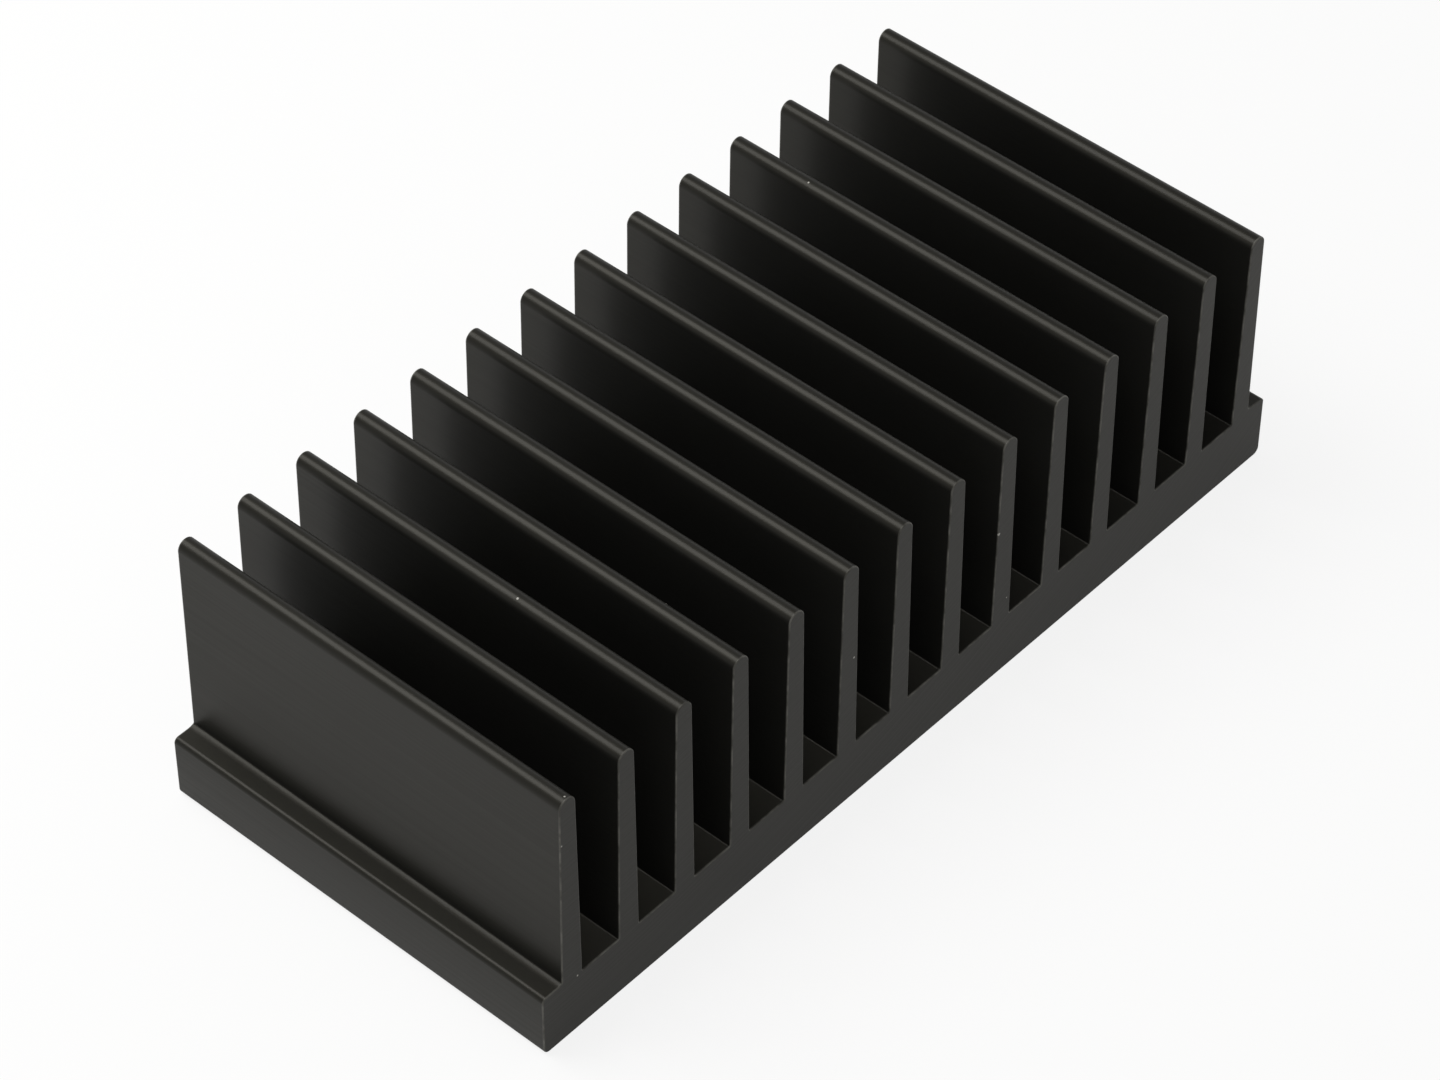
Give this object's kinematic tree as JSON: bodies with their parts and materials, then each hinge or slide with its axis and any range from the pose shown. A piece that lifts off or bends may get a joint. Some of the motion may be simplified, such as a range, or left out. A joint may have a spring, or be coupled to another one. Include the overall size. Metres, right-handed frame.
{
  "type": "extruded heat sink",
  "caption": "Straight-fin extruded heat sink: a thick flat base with a comb of tapered, round-tipped fins and a plain flange along each long side.",
  "frame": {"origin": "centre of the flat mounting face under the base", "axes": "+X across the fins, the widest way; +Y along the extrusion; +Z from the mounting face up to the fin tips"},
  "size_m": [0.111, 0.05, 0.033],
  "materials": {
    "black_anodised_aluminium": "satin black anodised"
  },
  "bodies": {
    "root": {"heatsink_extrusion": "black_anodised_aluminium"}
  },
  "joints": []
}
